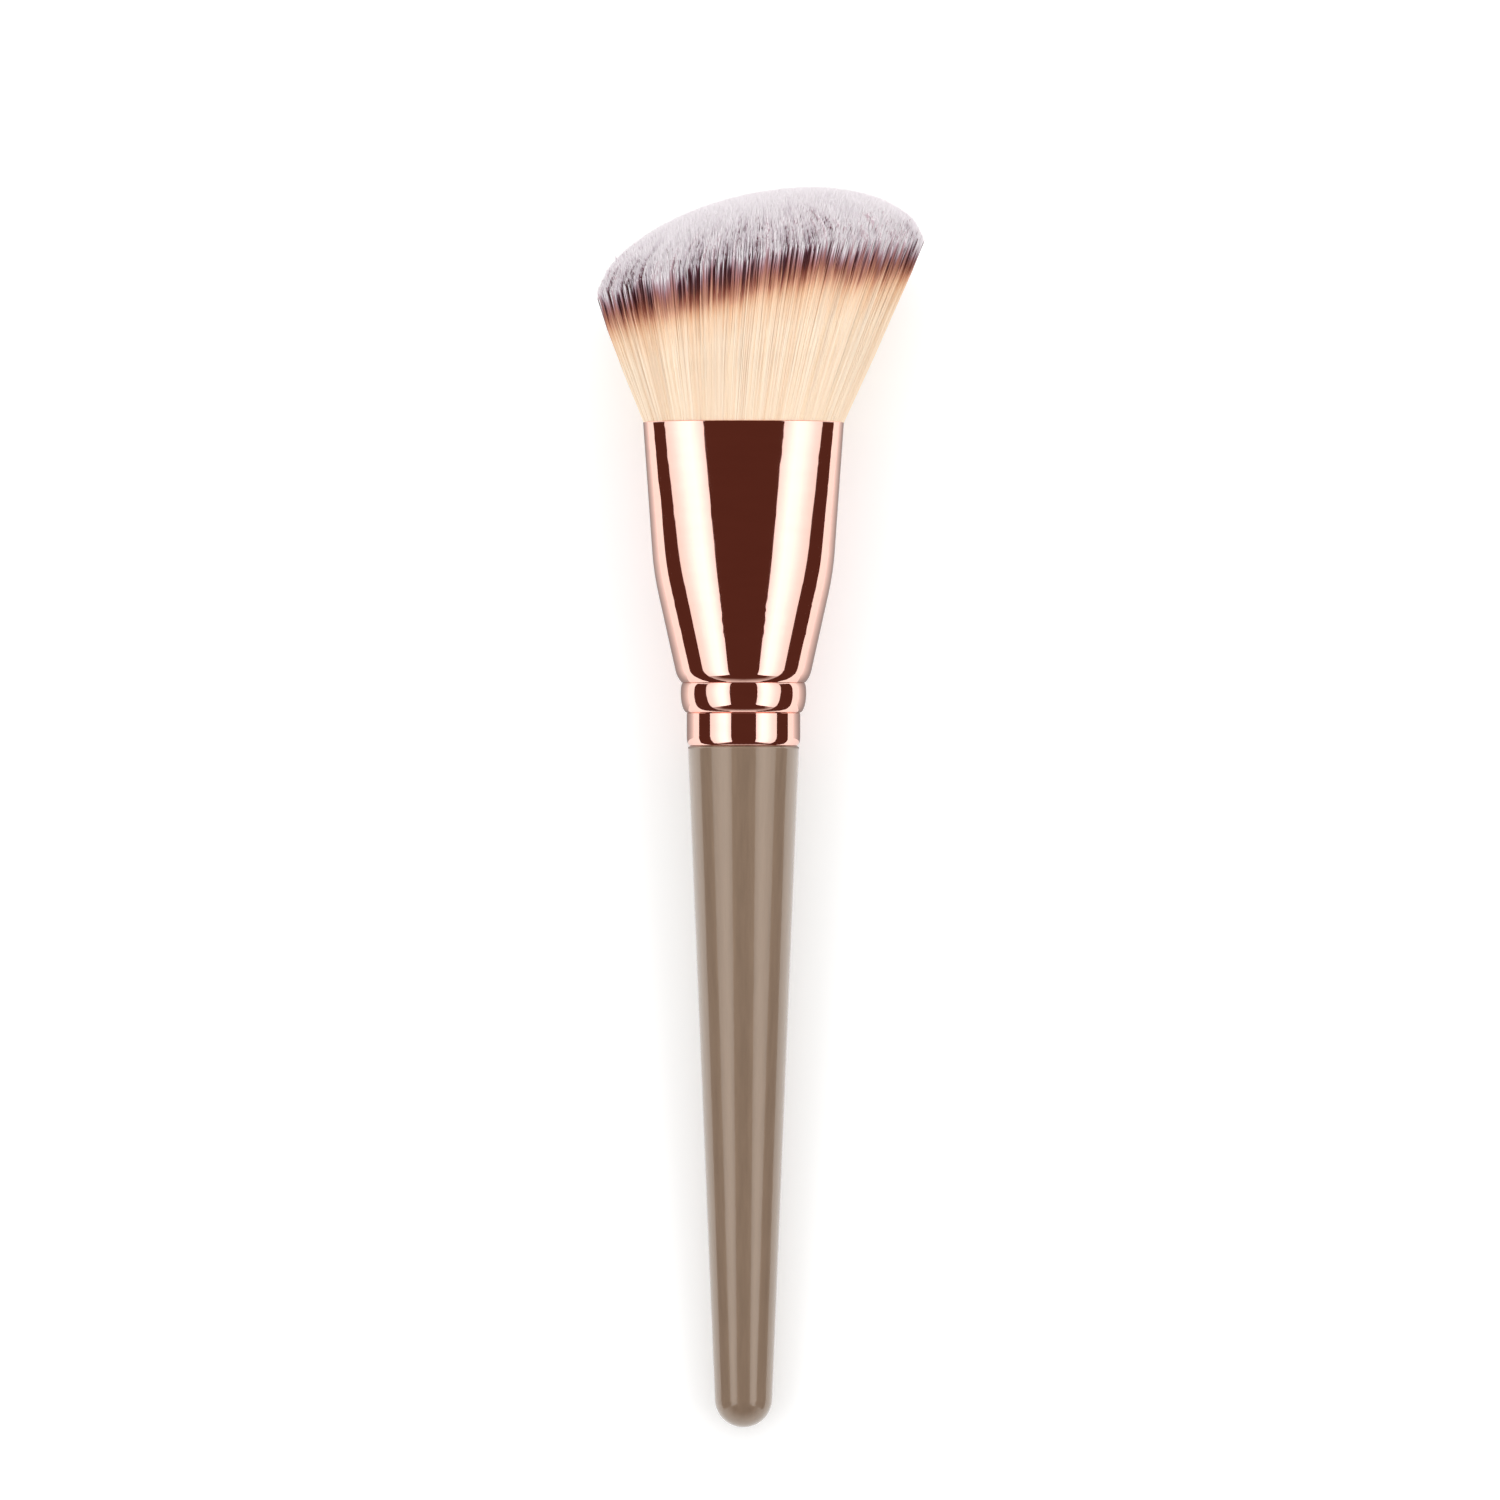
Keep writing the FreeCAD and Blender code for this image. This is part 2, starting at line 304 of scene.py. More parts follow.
def dyed_fibre(settings):
    """Polyester fibre, drawn, tapered and dyed in three dips.

    Silky strands that run from cream through a brown band to white points. Some took up more dye
    than their neighbours, and their greyer points, alike along each lock, paint streaks of shade
    between the locks. The colour follows each fibre's own distance from its tip.
    """
    material, tree, output = new_material("Polyester fibre, tapered and dip dyed")
    tip = add(tree, "ShaderNodeAttribute", attribute_name="tip_distance")
    tone = add(tree, "ShaderNodeAttribute", attribute_name="fibre_tone_and_shade")
    longest = LONGEST_FIBRE_MM
    pale = add(tree, "ShaderNodeValToRGB", {"Fac": tip.outputs["Fac"]}, stops=[
        (0.0, settings.tip_colour),
        (1.6 / longest, from_hex("F4EEF0")),
        (2.3 / longest, from_hex("D0B8C1")),
        (3.1 / longest, from_hex("B48386")),
        (3.9 / longest, from_hex("B77B6E")),
        (4.6 / longest, from_hex("C58C73")),
        (5.4 / longest, from_hex("E3AE90")),
        (6.4 / longest, from_hex("F5CEAC")),
        (8.0 / longest, from_hex("FDE1C3")),
        (12.0 / longest, settings.shaft_colour),
    ])
    # Deeper dyed fibres, with a darker band and greyer points that paint shade between the locks
    deep = add(tree, "ShaderNodeValToRGB", {"Fac": tip.outputs["Fac"]}, stops=[
        (0.0, from_hex("F4EFF2")),
        (1.0 / longest, from_hex("E4DAE0")),
        (1.6 / longest, from_hex("B098A3")),
        (2.1 / longest, from_hex("6E3C49")),
        (2.6 / longest, settings.band_colour),
        (3.9 / longest, from_hex("582420")),
        (4.7 / longest, from_hex("924E3C")),
        (5.6 / longest, from_hex("CB8D70")),
        (6.6 / longest, from_hex("E9BC97")),
        (8.2 / longest, from_hex("F9DBBC")),
        (12.0 / longest, from_hex("FBE5CC")),
    ])
    paleness = add(tree, "ShaderNodeMapRange", {
        "Value": tone.outputs["Fac"], "From Min": 0.34, "From Max": 0.48})
    colour = add(tree, "ShaderNodeMix", {
        "Factor": paleness.outputs["Result"], "A": deep.outputs["Color"], "B": pale.outputs["Color"]},
        data_type="RGBA")
    shader = add(tree, "ShaderNodeBsdfPrincipled", {
        "Base Color": colour.outputs["Result"],
        "Roughness": 0.42,
        "IOR": 1.5,
        "Specular IOR Level": 0.35,
    })
    tree.links.new(shader.outputs["BSDF"], output.inputs["Surface"])
    return material


# Tuft

def rise(value, start, length):
    """0 up to a start, then an even rise to 1 over a length."""
    return np.clip((value - start) / length, 0, 1)


def mouth_outline(u, v):
    """Where a fibre at a place in the bundle, in the unit disc, comes through the ferrule's mouth."""
    angle = np.arctan2(v, u)
    share = np.hypot(u, v)
    power = 2.0 / MOUTH_SQUARENESS
    x = MOUTH_HALF_WIDTH * share * np.sign(np.cos(angle)) * np.abs(np.cos(angle)) ** power
    y = MOUTH_HALF_DEPTH * share * np.sign(np.sin(angle)) * np.abs(np.sin(angle)) ** power
    return x, y


def fibre_points(tuft, u, v, tip_u, tip_v, share, shorter=0.0):
    """Centre points of fibres at shares of their length, from the mouth to the tip."""
    root_x, root_y = mouth_outline(u, v)
    drawn = np.clip(share, 0, 1)
    lean = EARLY_LEAN * drawn ** 2 + LATE_LEAN * drawn ** 6
    at_u = u + (tip_u - u) * lean
    at_v = v + (tip_v - v) * lean
    around = np.arctan2(at_v, at_u)
    out = np.minimum(np.hypot(at_u, at_v), 1.0)
    slope = math.tan(tuft.crown_slope)
    rim = tuft.reach - math.hypot(tuft.crown_half_width * slope, tuft.crown_rise)
    end_x = tuft.crown_offset + tuft.crown_half_width * at_u
    end_y = tuft.crown_half_depth * at_v
    climb = np.sqrt(1 - out ** 2)
    lift = tuft.face_lift * np.sin(around) ** 2 * np.clip(1 - np.arcsin(climb) / LIFT_REACH, 0, 1) ** 2
    end_z = rim + slope * tuft.crown_half_width * at_u + tuft.crown_rise * climb + lift - shorter
    relief = sum(part * np.cos(number * around + turn) for number, part, turn in RIDGES)
    swell = FAN_BOW * np.sin(np.pi * drawn) * out
    swell = swell + RIDGE_HEIGHT * relief * np.sin(np.pi / 2 * drawn) * out ** 6
    x = root_x + (end_x - root_x) * drawn + swell * np.cos(around)
    y = root_y + (end_y - root_y) * drawn + swell * np.sin(around)
    z = end_z * share + swell * slope * drawn * np.cos(around)
    return np.stack([x, y, z], axis=-1)


def even_disc(count, radius, scatter, rng):
    """Points spread evenly over a disc in a sunflower's order, each a little off its place."""
    order = np.arange(count) + 0.5 + scatter * rng.normal(size=count)
    out = radius * np.sqrt(np.clip(order / count, 0, 1))
    angle = (np.arange(count) + 0.5) * math.pi * (3 - math.sqrt(5))
    angle += scatter / np.sqrt(count) * rng.normal(size=count)
    return out * np.cos(angle), out * np.sin(angle)


def rim_run(tuft):
    """Distance round the dome's edge at each of a full turn's angles."""
    speed = np.hypot(tuft.crown_half_width * np.sin(RIM_ANGLES),
                     tuft.crown_half_depth * np.cos(RIM_ANGLES))
    steps = (speed[1:] + speed[:-1]) / 2 * np.diff(RIM_ANGLES)
    return np.concatenate([[0], np.cumsum(steps)])


def rim_angles(tuft, count, rng):
    """Angles of points spread evenly along the dome's edge."""
    run = rim_run(tuft)
    return np.interp(rng.random(count) * run[-1], run, RIM_ANGLES)


def on_drum(arc, height, length):
    """Places on a drum as far round as the dome's edge, so that the nearest lock can be found."""
    turn = arc / length * 2 * np.pi
    return np.stack([np.cos(turn) * length / (2 * np.pi), np.sin(turn) * length / (2 * np.pi),
                     height], axis=1)


def gather(rng, tuft, u, v):
    """Places of fibre tips combed sideways into thin locks, and the number of each fibre's lock."""
    run = rim_run(tuft)
    columns = int(run[-1] / tuft.lock_width)
    order = np.arange(columns * LOCK_LAYERS)
    middle = (order % columns + rng.random(len(order))) / columns * run[-1]
    depth = (order // columns + rng.random(len(order))) / LOCK_LAYERS
    thick = tuft.lock_width * LOCK_LAYERS
    tree = KDTree(len(order))
    for number, place in enumerate(on_drum(middle, depth * thick, run[-1])):
        tree.insert(place, number)
    tree.balance()
    around = np.arctan2(v, u)
    out = np.hypot(u, v)
    places = on_drum(np.interp(around, RIM_ANGLES, run), out * thick, run[-1])
    numbers = np.array([tree.find(place)[1] for place in places])
    aside = np.interp(middle[numbers], run, RIM_ANGLES) - around
    aside = (aside + np.pi) % (2 * np.pi) - np.pi
    # Some fibres follow their lock closer than others, and those inside the tuft hardly do
    pull = tuft.combing * (0.6 + 0.6 * rng.random(len(u))) * (0.2 + 0.8 * out ** 2)
    around = around + aside * pull
    return out * np.cos(around), out * np.sin(around), numbers


def fibre_bundle(name, points, radii, distance, tone, turn, material):
    """One mesh of thin three-sided fibres, each ending in a point."""
    count, rings, _ = points.shape
    direction = points[:, -1] - points[:, 0]
    direction /= np.linalg.norm(direction, axis=1, keepdims=True)
    side = np.cross(direction, FACING)
    side /= np.linalg.norm(side, axis=1, keepdims=True)
    other = np.cross(direction, side)
    corners = []
    for corner in range(SIDES):
        angle = (turn + corner * 2 * np.pi / SIDES)[:, None, None]
        offset = np.cos(angle) * side[:, None] + np.sin(angle) * other[:, None]
        corners.append(points[:, :-1] + offset * radii[:, :, None])
    tubes = np.stack(corners, axis=2).reshape(count, (rings - 1) * SIDES, 3)
    vertices = np.concatenate([tubes, points[:, -1:]], axis=1)
    per_fibre = vertices.shape[1]
    faces = np.array(tube_faces(rings - 1, SIDES) + fan_faces(SIDES, (rings - 2) * SIDES, per_fibre - 1))
    faces = faces[None] + (np.arange(count) * per_fibre)[:, None, None]
    # Flat sides, because smoothed ones on so few sides would look too dark
    piece = mesh_object(name, vertices.reshape(-1, 3), faces.reshape(-1, 3), material, smooth=False)

    rows = np.concatenate([np.repeat(distance[:, :-1], SIDES, axis=1), distance[:, -1:]], axis=1)
    tones = np.repeat(tone[:, None], per_fibre, axis=1)
    dress_fibres(piece, rows.ravel(), tones.ravel(), np.tile(
        np.append(np.tile(np.arange(SIDES) - 1, rings - 1), 0), count))
    return piece


def dress_fibres(piece, distance, tone, sideways):
    """Writes each corner's distance from the tip and tone, and a map that holds the same two."""
    mesh = piece.data
    for name, values in (("tip_distance", distance), ("fibre_tone_and_shade", tone)):
        mesh.attributes.new(name, "FLOAT", "POINT").data.foreach_set("value", values.astype(np.float32))
    corner = np.zeros(len(mesh.loops), np.int32)
    mesh.loops.foreach_get("vertex_index", corner)
    # Clear of the map's edges, with a place of its own for each side of a fibre
    u = 0.03 + 0.94 * tone + 0.012 * sideways
    layer = mesh.uv_layers.new(name="OFBake")
    places = np.stack([u[corner], distance[corner]], axis=1)
    layer.data.foreach_set("uv", places.astype(np.float32).ravel())


def place_on_brush(piece):
    """Rides a piece of the tuft on the brush, in place of the CAD solid."""
    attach(piece, "root")
    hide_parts("bristle_head")


def band_edges(rng, lock, tip_u, out):
    """How many metres below each fibre's tip its dark band begins and ends."""
    of_lock = rng.normal(size=lock.max() + 1)[lock]
    own = rng.normal(size=len(lock))
    spike = rng.exponential(size=lock.max() + 1)[lock]
    own_spike = rng.exponential(size=len(lock))
    # The spikes are tallest on the outside, and taller at the tuft's long side
    tall = (0.1 + 0.9 * out ** 5) * (1 + 0.5 * rise(tip_u, 0.35, 0.3))
    foot = np.interp(tip_u, *zip(*BAND_FOOT)) + FOOT_LOCK_MM * of_lock + FOOT_FIBRE_MM * own
    top = np.interp(tip_u, *zip(*BAND_TOP)) + INNER_WHITE_MM * (1 - out ** 2)
    top += tall * (SPIKE_LOCK_MM * (1 - spike) + SPIKE_FIBRE_MM * (1 - own_spike))
    return np.clip(top, LEAST_WHITE_MM, foot - LEAST_BAND_MM) / 1000, foot / 1000


def grow(rng, tuft, name, u, v, rings_below, radius, material):
    """Grows one kind of fibre as a few pieces, with rings at distances below each tip."""
    tip_u, tip_v, lock = gather(rng, tuft, u, v)
    count = len(u)
    out = np.hypot(tip_u, tip_v)
    shorter = (0.1 + 0.9 * out ** 3) * SHORT_LOCK * rng.random(lock.max() + 1)[lock]
    shorter += SHORT_FIBRE * np.abs(rng.normal(size=count))
    # A few short fibres lie over the band with their white tips, more of them at the long side
    missing = CUT_FIBRE * rng.random(count) * (rng.random(count) < 0.004 + 0.012 * (tip_u > 0.55))
    shorter += missing * (out < 0.98)
    full = fibre_points(tuft, u, v, tip_u, tip_v, np.ones(count), shorter)
    length = np.linalg.norm(full - np.stack([*mouth_outline(u, v), 0 * u], axis=1), axis=1)
    top, foot = band_edges(rng, lock, tip_u, out)
    below, dye = rings_below(length, top, foot)
    share = 1 - below / length[:, None]
    points = fibre_points(tuft, u[:, None], v[:, None], tip_u[:, None], tip_v[:, None], share,
                          shorter[:, None])
    sway = rng.normal(scale=SWAY, size=points.shape)
    sway[:, 0] = 0
    sway[:, -1] *= 1.5
    stray = STRAY * rng.normal(size=count) * (rng.random(count) < STRAY_SHARE)
    sway[..., 0] += stray[:, None] * np.clip(share, 0, 1) ** 3
    points = to_row(points + sway)
    points[..., 2] = np.maximum(points[..., 2], LOWEST_POINT)
    radii = radius * (0.85 + 0.3 * rng.random(count))[:, None] * np.ones(share.shape[1] - 1)
    # The taper begins a little before the white
    radii[:, -1] *= 0.85
    distance = np.clip(dye * 1000, 0, LONGEST_FIBRE_MM) / LONGEST_FIBRE_MM
    # Each lock's share of the tone paints streaks of shade between the locks. Fibres inside the tuft are
    # paler, and those at its long side's end took less dye
    tone = LOCK_TONE_AND_SHADE * rng.random(lock.max() + 1)[lock] + OWN_TONE * rng.random(count)
    tone = np.clip(tone + 0.4 * (1 - out ** 2) + 0.12 * rise(tip_u, 0.45, 0.25), 0, 1)
    turn = rng.random(count) * 2 * np.pi
    order = np.argsort(np.arctan2(v, u), kind="stable")
    for number, chosen in enumerate(np.array_split(order, PIECES_OF_EACH), start=1):
        place_on_brush(fibre_bundle(
            f"{name}_{number}", points[chosen], radii[chosen], distance[chosen], tone[chosen],
            turn[chosen], material))


def tip_dye(top):
    """Where a tip lies on the dye's scale: at nothing, unless the band begins close below it."""
    return np.clip(TOP_DYE_MM / 1000 - TIP_DYE_SLOPE * top, 0, MOST_TIP_DYE)


def whole_fibre(length, top, foot):
    """Rings of a fibre seen from the mouth to its tip, and where each lies on the dye's scale."""
    none = 0 * length
    below = np.stack([length + ROOT_DEPTH, length * SECOND_RING, foot, top, none], axis=1)
    dye = np.stack([length, length * SECOND_RING, none + FOOT_DYE_MM / 1000,
                    none + TOP_DYE_MM / 1000, tip_dye(top)], axis=1)
    return below, dye


def fibre_end(length, top, foot):
    """Rings of a fibre of which only the upper end is seen."""
    none = 0 * length
    below = np.stack([none + END_LENGTH, top, none], axis=1)
    dye = np.stack([none + END_DYE, none + TOP_DYE_MM / 1000, tip_dye(top)], axis=1)
    return below, dye


def tuft_core(tuft, material):
    """Closed body inside the bundle that backs the gaps between the modelled fibres."""
    around = 2 * np.pi * np.arange(CORE_CORNERS) / CORE_CORNERS
    rows = [(CORE_SHARE, share) for share in np.linspace(CORE_START, CORE_SHARE, CORE_ROWS)]
    rows += [(CORE_SHARE * math.cos(climb), CORE_SHARE)
             for climb in np.linspace(0, math.pi / 2, CORE_DOME_ROWS)[1:-1]]
    points, distance = [], []
    for radius, share in rows:
        u, v = radius * np.cos(around), radius * np.sin(around)
        ring = fibre_points(tuft, u, v, u, v, np.full(len(u), share))
        tip = fibre_points(tuft, u, v, u, v, np.ones(len(u)))
        points.append(ring)
        distance.append(np.linalg.norm(tip - ring, axis=1) * 1000 + CORE_DYE_MM)
    ends = [points[-1].mean(axis=0)[None], points[0].mean(axis=0)[None]]
    top = len(rows) * CORE_CORNERS
    faces = tube_faces(len(rows), CORE_CORNERS) + fan_faces(CORE_CORNERS, top - CORE_CORNERS, top)
    faces += [face[::-1] for face in fan_faces(CORE_CORNERS, 0, top + 1)]
    piece = mesh_object("tuft_core", to_row(np.concatenate(points + ends)), np.array(faces), material)
    distance = np.concatenate(distance + [distance[-1][:1], distance[0][:1]])
    distance = np.clip(distance, 0, LONGEST_FIBRE_MM) / LONGEST_FIBRE_MM
    none = np.zeros(len(distance))
    dress_fibres(piece, distance, none + CORE_TONE, none)
    place_on_brush(piece)


# Settings

class TuftSettings(bpy.types.PropertyGroup):
    """Sizes and number of the fibres."""
    reach: bpy.props.FloatProperty(
        name="Reach", description="How far the longest fibres stand out of the ferrule",
        default=0.0333, unit="LENGTH", precision=4)
    crown_half_width: bpy.props.FloatProperty(
        name="Crown half width", description="Half the tuft's width at the edge of its dome",
        default=0.02305, unit="LENGTH", precision=4)
    crown_half_depth: bpy.props.FloatProperty(
        name="Crown half depth", description="Half the tuft's depth at the edge of its dome",
        default=0.013, unit="LENGTH", precision=4)
    crown_offset: bpy.props.FloatProperty(
        name="Crown offset", description="How far the dome's centre lies to the long side",
        default=0.00235, unit="LENGTH", precision=4)
    crown_slope: bpy.props.FloatProperty(
        name="Crown slope", description="Angle at which the dome's edge climbs to the long side",
        default=math.radians(9.6), subtype="ANGLE")
    crown_rise: bpy.props.FloatProperty(
        name="Crown rise", description="Height of the dome above its edge",
        default=0.0114, unit="LENGTH", precision=4)
    face_lift: bpy.props.FloatProperty(
        name="Face lift", description="How far the dome's edge rises in the middle of each wide face",
        default=0.002, unit="LENGTH", precision=4)
    skin_fibres: bpy.props.IntProperty(
        name="Skin fibres", description="Fibres modelled from the mouth to the tip, round the outside",
        default=22000, min=100)
    crown_fibres: bpy.props.IntProperty(
        name="Crown fibres", description="Fibres modelled at their upper ends, under the dome",
        default=56000, min=100)
    lock_width: bpy.props.FloatProperty(
        name="Lock width", description="Width of the thin locks that the tips comb into",
        default=0.00026, min=0.0001, unit="LENGTH", precision=5)
    combing: bpy.props.FloatProperty(
        name="Combing", description="How far each tip leans to the middle of its lock",
        default=0.8, min=0, max=1, subtype="FACTOR")


class FinishSettings(bpy.types.PropertyGroup):
    """Colours of the brush."""
    lacquer_colour: bpy.props.FloatVectorProperty(
        name="Lacquer", description="Colour of the handle's lacquer", subtype="COLOR",
        default=from_hex("84705E"), min=0, max=1)
    plating_colour: bpy.props.FloatVectorProperty(
        name="Plating", description="Colour of the ferrule's plating", subtype="COLOR",
        default=from_hex("F6C7B9"), min=0, max=1)
    tip_colour: bpy.props.FloatVectorProperty(
        name="Tips", description="Colour of the fibres' undyed points", subtype="COLOR",
        default=from_hex("FDF9FB"), min=0, max=1)
    band_colour: bpy.props.FloatVectorProperty(
        name="Band", description="Darkest colour of the fibres' band", subtype="COLOR",
        default=from_hex("401420"), min=0, max=1)
    shaft_colour: bpy.props.FloatVectorProperty(
        name="Shafts", description="Colour of the fibres below the band", subtype="COLOR",
        default=from_hex("FFECD4"), min=0, max=1)


class StudioSettings(bpy.types.PropertyGroup):
    """Camera and lights."""
    camera_distance: bpy.props.FloatProperty(
        name="Camera distance", description="From the brush's axis to the camera",
        default=1.4093, unit="LENGTH")
    lens: bpy.props.FloatProperty(
        name="Lens", description="Focal length of the camera in millimetres",
        default=240.0, unit="CAMERA")
    softbox_glow: bpy.props.FloatProperty(
        name="Softbox glow", description="Brightness of the softboxes", default=2.0, min=0)
    room_glow: bpy.props.FloatProperty(
        name="Room glow", description="Brightness of the light that comes from all round",
        default=0.62, min=0)


# Operators

class BRUSH_OT_finish_handle(bpy.types.Operator):
    """Lacquers the turned handle"""
    bl_idname = "contour_brush.finish_handle"
    bl_label = "Finish handle"

    def execute(self, context):
        finish_node("handle", taupe_lacquer(context.scene.brush_finish))
        return {"FINISHED"}


class BRUSH_OT_finish_ferrule(bpy.types.Operator):
    """Plates the spun ferrule"""
    bl_idname = "contour_brush.finish_ferrule"
    bl_label = "Finish ferrule"

    def execute(self, context):
        finish_node("ferrule", rose_gold(context.scene.brush_finish))
        return {"FINISHED"}


class BRUSH_OT_finish_glue(bpy.types.Operator):
    """Gives the hidden glue plug its resin"""
    bl_idname = "contour_brush.finish_glue"
    bl_label = "Finish glue plug"

    def execute(self, context):
        finish_node("root_glue_plug", cast_resin())
        return {"FINISHED"}


class BRUSH_OT_grow_tuft(bpy.types.Operator):
    """Grows the tuft's fibres over a core, in place of the CAD solid"""
    bl_idname = "contour_brush.grow_tuft"
    bl_label = "Grow tuft"

    def execute(self, context):
        tuft = context.scene.brush_tuft
        material = dyed_fibre(context.scene.brush_finish)
        finish_node("bristle_head", material)
        tuft_core(tuft, material)
        rng = np.random.default_rng(FIBRE_SEED)
        around = rim_angles(tuft, tuft.skin_fibres, rng)
        out = SKIN_OUT - SKIN_DEPTH * rng.random(tuft.skin_fibres) ** 1.5
        grow(rng, tuft, "skin_fibres", out * np.cos(around), out * np.sin(around),
             whole_fibre, SKIN_RADIUS, material)
        grow(rng, tuft, "crown_fibres", *even_disc(tuft.crown_fibres, CROWN_OUT, CROWN_SCATTER, rng),
             fibre_end, CROWN_RADIUS, material)
        return {"FINISHED"}


class BRUSH_OT_set_stage(bpy.types.Operator):
    """Sets up the floor, the lights and the camera"""
    bl_idname = "contour_brush.set_stage"
    bl_label = "Set stage"

    def execute(self, context):
        studio = context.scene.brush_studio
        lay_floor()
        hang_softboxes(studio)
        hang_top_softbox(studio)
        hang_flags()
        hang_walls()
        lay_painted_shadow_cards()
        light_room(context.scene, studio)
        aim_camera(context.scene, studio)
        context.scene.view_settings.view_transform = "Standard"
        return {"FINISHED"}


# Stage

def board(name, corners, material):
    """A flat stage board through four corners."""
    piece = mesh_object(name, np.array(corners, float), np.array([[0, 1, 2, 3]]), material)
    layer = piece.data.uv_layers.new(name="UVMap")
    layer.data.foreach_set("uv", [0, 0, 1, 0, 1, 1, 0, 1])
    return piece


def board_pair(name, corners, material, middle=0.0):
    """Two boards, left and right of a middle line, from the right one's corners."""
    return [board(f"{name}_{hand}", [(middle + side * x, y, z) for x, y, z in corners], material)
            for side, hand in ((-1, "left"), (1, "right"))]


def glowing_cloth(name, colour=(1.0, 1.0, 1.0), strength=1.0, stops=None):
    """Cloth that glows in one colour, or in a ramp from each board's first corner to its second."""
    material, tree, output = new_material(name)
    source = (*colour, 1.0)
    if stops:
        place = add(tree, "ShaderNodeTexCoord")
        across = add(tree, "ShaderNodeSeparateXYZ", {"Vector": place.outputs["UV"]})
        ramp = add(tree, "ShaderNodeValToRGB", {"Fac": across.outputs["X"]}, stops=stops)
        source = ramp.outputs["Color"]
    glow = add(tree, "ShaderNodeEmission", {"Color": source, "Strength": strength})
    tree.links.new(glow.outputs[0], output.inputs["Surface"])
    return material


def lights_nothing(material):
    """Keeps a glow that only reflections see out of the lamps that are sampled."""
    material.cycles.emission_sampling = "NONE"


def only_reflected(piece):
    """Hides a board from everything but reflections."""
    piece.visible_camera = False
    piece.visible_diffuse = False
    piece.visible_shadow = False
    piece.visible_transmission = False


def seen_background(tree):
    """1 for rays that show the background: the camera's, and those off gloss and through glass."""
    path = add(tree, "ShaderNodeLightPath")
    some = add(tree, "ShaderNodeMath", {
        0: path.outputs["Is Camera Ray"], 1: path.outputs["Is Glossy Ray"]}, operation="ADD")
    both = add(tree, "ShaderNodeMath", {
        0: some.outputs[0], 1: path.outputs["Is Transmission Ray"]}, operation="ADD", use_clamp=True)
    return both.outputs[0]


def lay_floor():
    """White paper floor that keeps the brush's shadow."""
    material, tree, output = new_material("White paper, matt")
    glow = add(tree, "ShaderNodeEmission", {"Color": (1, 1, 1, 1), "Strength": PAPER_GLOW})
    hidden = add(tree, "ShaderNodeEmission", {"Strength": 0.0})
    shown = add(tree, "ShaderNodeMixShader", {
        "Fac": seen_background(tree), 1: hidden.outputs[0], 2: glow.outputs[0]})
    paper = add(tree, "ShaderNodeBsdfDiffuse", {"Color": (*from_hex("F5F5F4"), 1.0)})
    both = add(tree, "ShaderNodeAddShader", {0: shown.outputs[0], 1: paper.outputs[0]})
    tree.links.new(both.outputs[0], output.inputs["Surface"])
    lights_nothing(material)
    far = FLOOR_REACH
    board("floor", [(-far, -far, 0), (far, -far, 0), (far, far, 0), (-far, far, 0)], material)


def hang_softboxes(studio):
    """Two long strip softboxes, left and right of the brush, seen only by light and reflections."""
    # Brighter along the middle, where the tube stands behind the cloth
    material = glowing_cloth("Softbox cloth", strength=studio.softbox_glow, stops=[
        (0.0, (0.62, 0.62, 0.64)), (0.32, (1.0, 1.0, 1.0)), (0.5, (0.94, 0.94, 0.95)),
        (0.78, (0.68, 0.68, 0.69)), (1.0, (0.58, 0.58, 0.58))])
    # Distance from the brush and angle off the upright of each long edge
    inner_distance, inner = 0.60, math.radians(25)
    outer_distance, outer = 0.50, math.radians(71)
    start, end = -0.33, 0.6
    top_x, top_z = inner_distance * math.sin(inner), inner_distance * math.cos(inner)
    low_x, low_z = outer_distance * math.sin(outer), outer_distance * math.cos(outer)
    for box in board_pair("softbox", [(top_x, start, top_z), (low_x, start, low_z),
                                      (low_x, end, low_z), (top_x, end, top_z)], material):
        box.visible_camera = False


def hang_top_softbox(studio):
    """A square softbox beyond the tuft that lights its crown and stays out of the reflections."""
    material = glowing_cloth("Softbox cloth, plain", strength=1.05 * studio.softbox_glow)
    half_width, low, high = 0.3, (0.62, 0.08), (0.42, 0.55)
    box = board("softbox_top", [(-half_width, *low), (half_width, *low),
                                (half_width, *high), (-half_width, *high)], material)
    box.visible_camera = False
    box.visible_glossy = False


def hang_flags():
    """Dark flags that only reflections see: one overhead and two low cards by the brush."""
    material = glowing_cloth("Flag cloth, dark brown", FLAG_BROWN)
    lights_nothing(material)
    x, y, z = TENT
    only_reflected(board("flag_top", [(-x, -y, z), (x, -y, z), (x, y, z), (-x, y, z)], material))
    near, far = (0.030, -0.10), (0.086, 0.06)
    for card in board_pair("card", [(*near, 0.0), (*far, 0.0), (*far, 0.04), (*near, 0.03)],
                           material, COLLAR_POINT[0]):
        only_reflected(card)


def hang_walls():
    """Cloth walls from the overhead flag to the floor, dark at the top, that only reflections see."""
    material = glowing_cloth("Wall cloth, shaded", stops=[
        (0.0, FLAG_BROWN), (0.18, (0.13, 0.06, 0.045)), (0.5, (0.5, 0.44, 0.42)),
        (0.9, (1.0, 1.0, 1.0))])
    lights_nothing(material)
    x, y, z = TENT
    for name, start, end in (("wall_front", (-x, -y), (x, -y)), ("wall_back", (x, y), (-x, y)),
                             ("wall_left", (-x, y), (-x, -y)), ("wall_right", (x, -y), (x, y))):
        only_reflected(board(name, [(*start, z), (*start, 0), (*end, 0), (*end, z)], material))


